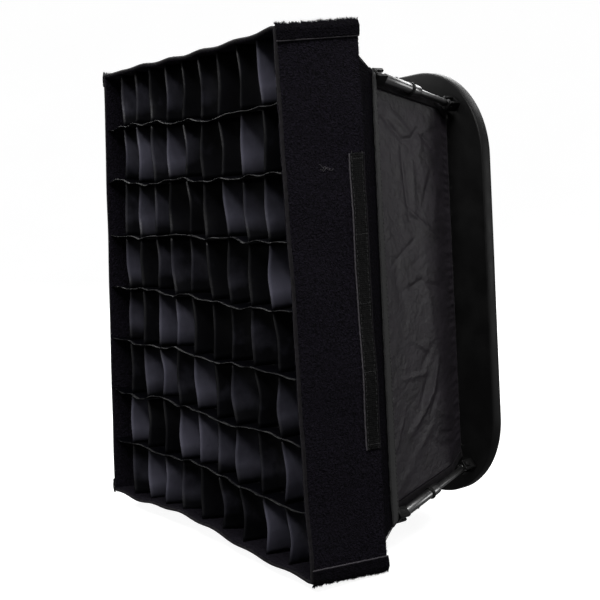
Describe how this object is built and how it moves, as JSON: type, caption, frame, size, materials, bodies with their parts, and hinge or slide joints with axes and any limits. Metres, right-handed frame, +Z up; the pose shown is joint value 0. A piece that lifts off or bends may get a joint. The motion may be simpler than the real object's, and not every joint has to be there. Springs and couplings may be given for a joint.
{
  "type": "strip softbox",
  "caption": "Collapsible portrait softbox with a fabric egg-crate grid, a tapered fabric body on four telescoping corner struts and a rounded rear plate with a lamp opening.",
  "frame": {"origin": "centre of the lamp seat, on the rear face of the rear plate", "axes": "+Z up along the long side, +X to the right seen from the front, -Y out of the lit front, +Y out of the rear"},
  "size_m": [0.323, 0.2153, 0.4],
  "materials": {
    "moulded_plastic": "fine matt grain",
    "gasket_rubber": "matt",
    "strut_metal": "glossy black paint over steel tube",
    "body_nylon": "coated ripstop nylon with a soft sheen",
    "loop_fabric": "brushed loop pile",
    "hook_tape": "woven hook tape",
    "grid_cloth": "satin black cloth",
    "diffusion_cloth": "white diffusion cloth"
  },
  "bodies": {
    "root": {"rear_plate": "moulded_plastic", "lamp_gasket": "gasket_rubber", "rear_bracket_top_right": "moulded_plastic", "rear_bracket_top_left": "moulded_plastic", "rear_bracket_bottom_left": "moulded_plastic", "rear_bracket_bottom_right": "moulded_plastic", "rear_pin_top_right": "strut_metal", "rear_pin_top_left": "strut_metal", "rear_pin_bottom_left": "strut_metal", "rear_pin_bottom_right": "strut_metal", "side_panel_top": "body_nylon", "side_panel_bottom": "body_nylon", "side_panel_left": "body_nylon", "side_panel_right": "body_nylon"},
    "clip_left": {"lamp_clip_left": "moulded_plastic"},
    "clip_right": {"lamp_clip_right": "moulded_plastic"},
    "rod_top_right": {"strut_rod_top_right": "strut_metal"},
    "tube_top_right": {"strut_tube_top_right": "strut_metal"},
    "collar_top_right": {"lock_collar_top_right": "moulded_plastic"},
    "rod_top_left": {"strut_rod_top_left": "strut_metal"},
    "tube_top_left": {"strut_tube_top_left": "strut_metal"},
    "collar_top_left": {"lock_collar_top_left": "moulded_plastic"},
    "rod_bottom_left": {"strut_rod_bottom_left": "strut_metal"},
    "tube_bottom_left": {"strut_tube_bottom_left": "strut_metal"},
    "collar_bottom_left": {"lock_collar_bottom_left": "moulded_plastic"},
    "rod_bottom_right": {"strut_rod_bottom_right": "strut_metal"},
    "tube_bottom_right": {"strut_tube_bottom_right": "strut_metal"},
    "collar_bottom_right": {"lock_collar_bottom_right": "moulded_plastic"},
    "front_frame": {"front_rail_top": "body_nylon", "front_rail_bottom": "body_nylon", "front_rail_left": "body_nylon", "front_rail_right": "body_nylon", "front_corner_top_right": "moulded_plastic", "front_corner_top_left": "moulded_plastic", "front_corner_bottom_left": "moulded_plastic", "front_corner_bottom_right": "moulded_plastic"},
    "baffle": {"inner_baffle": "diffusion_cloth"},
    "diffuser": {"front_diffuser": "diffusion_cloth"},
    "grid": {"grid_row_1": "grid_cloth", "grid_row_2": "grid_cloth", "grid_row_3": "grid_cloth", "grid_row_4": "grid_cloth", "grid_row_5": "grid_cloth", "grid_row_6": "grid_cloth", "grid_row_7": "grid_cloth", "grid_column_1": "grid_cloth", "grid_column_2": "grid_cloth", "grid_column_3": "grid_cloth", "grid_column_4": "grid_cloth", "grid_column_5": "grid_cloth", "grid_column_6": "grid_cloth", "grid_column_7": "grid_cloth", "grid_column_8": "grid_cloth", "grid_column_9": "grid_cloth", "grid_skirt_top": "loop_fabric", "grid_skirt_bottom": "loop_fabric", "grid_skirt_left": "loop_fabric", "grid_skirt_right": "loop_fabric", "hook_tape_left": "hook_tape", "hook_tape_right": "hook_tape"}
  },
  "joints": [
    {"name": "frame_collapse", "type": "slide", "parent": "root", "child": "front_frame", "axis": [0, 1, 0], "range_m": [0, 0.034], "deforming": ["side_panel_top", "side_panel_bottom", "side_panel_left", "side_panel_right"]},
    {"name": "rod_hinge_top_right", "type": "hinge", "parent": "root", "child": "rod_top_right", "pos_m": [0.119, -0.018, 0.155], "axis": [-0.7071, 0, 0.7071], "range_deg": [0, 8.9]},
    {"name": "rod_hinge_top_left", "type": "hinge", "parent": "root", "child": "rod_top_left", "pos_m": [-0.119, -0.018, 0.155], "axis": [-0.7071, 0, -0.7071], "range_deg": [0, 8.9]},
    {"name": "rod_hinge_bottom_left", "type": "hinge", "parent": "root", "child": "rod_bottom_left", "pos_m": [-0.119, -0.018, -0.155], "axis": [0.7071, 0, -0.7071], "range_deg": [0, 8.9]},
    {"name": "rod_hinge_bottom_right", "type": "hinge", "parent": "root", "child": "rod_bottom_right", "pos_m": [0.119, -0.018, -0.155], "axis": [0.7071, 0, 0.7071], "range_deg": [0, 8.9]},
    {"name": "tube_hinge_top_right", "type": "hinge", "parent": "front_frame", "child": "tube_top_right", "pos_m": [0.137, -0.104, 0.173], "axis": [-0.7071, 0, 0.7071], "range_deg": [0, 8.9]},
    {"name": "tube_hinge_top_left", "type": "hinge", "parent": "front_frame", "child": "tube_top_left", "pos_m": [-0.137, -0.104, 0.173], "axis": [-0.7071, 0, -0.7071], "range_deg": [0, 8.9]},
    {"name": "tube_hinge_bottom_left", "type": "hinge", "parent": "front_frame", "child": "tube_bottom_left", "pos_m": [-0.137, -0.104, -0.173], "axis": [0.7071, 0, -0.7071], "range_deg": [0, 8.9]},
    {"name": "tube_hinge_bottom_right", "type": "hinge", "parent": "front_frame", "child": "tube_bottom_right", "pos_m": [0.137, -0.104, -0.173], "axis": [0.7071, 0, 0.7071], "range_deg": [0, 8.9]},
    {"name": "collar_twist_top_right", "type": "hinge", "parent": "tube_top_right", "child": "collar_top_right", "pos_m": [0.137, -0.104, 0.173], "axis": [0.2007, -0.9589, 0.2007], "range_deg": [0, 60]},
    {"name": "collar_twist_top_left", "type": "hinge", "parent": "tube_top_left", "child": "collar_top_left", "pos_m": [-0.137, -0.104, 0.173], "axis": [-0.2007, -0.9589, 0.2007], "range_deg": [0, 60]},
    {"name": "collar_twist_bottom_left", "type": "hinge", "parent": "tube_bottom_left", "child": "collar_bottom_left", "pos_m": [-0.137, -0.104, -0.173], "axis": [-0.2007, -0.9589, -0.2007], "range_deg": [0, 60]},
    {"name": "collar_twist_bottom_right", "type": "hinge", "parent": "tube_bottom_right", "child": "collar_bottom_right", "pos_m": [0.137, -0.104, -0.173], "axis": [0.2007, -0.9589, -0.2007], "range_deg": [0, 60]},
    {"name": "clip_turn_left", "type": "hinge", "parent": "root", "child": "clip_left", "pos_m": [-0.109, 0, 0], "axis": [0, 1, 0], "range_deg": [0, 90]},
    {"name": "clip_turn_right", "type": "hinge", "parent": "root", "child": "clip_right", "pos_m": [0.109, 0, 0], "axis": [0, 1, 0], "range_deg": [0, 90]},
    {"name": "baffle_pull", "type": "slide", "parent": "front_frame", "child": "baffle", "axis": [0, -1, 0], "range_m": [0, 0.15]},
    {"name": "diffuser_pull", "type": "slide", "parent": "baffle", "child": "diffuser", "axis": [0, -1, 0], "range_m": [0, 0.075]},
    {"name": "grid_pull", "type": "slide", "parent": "diffuser", "child": "grid", "axis": [0, -1, 0], "range_m": [0, 0.075]}
  ],
  "couplings": [
    {"joint": "rod_hinge_top_right", "follows": "frame_collapse", "rad_per_m": 4.567},
    {"joint": "rod_hinge_top_left", "follows": "frame_collapse", "rad_per_m": 4.567},
    {"joint": "rod_hinge_bottom_left", "follows": "frame_collapse", "rad_per_m": 4.567},
    {"joint": "rod_hinge_bottom_right", "follows": "frame_collapse", "rad_per_m": 4.567},
    {"joint": "tube_hinge_top_right", "follows": "frame_collapse", "rad_per_m": 4.567},
    {"joint": "tube_hinge_top_left", "follows": "frame_collapse", "rad_per_m": 4.567},
    {"joint": "tube_hinge_bottom_left", "follows": "frame_collapse", "rad_per_m": 4.567},
    {"joint": "tube_hinge_bottom_right", "follows": "frame_collapse", "rad_per_m": 4.567}
  ]
}
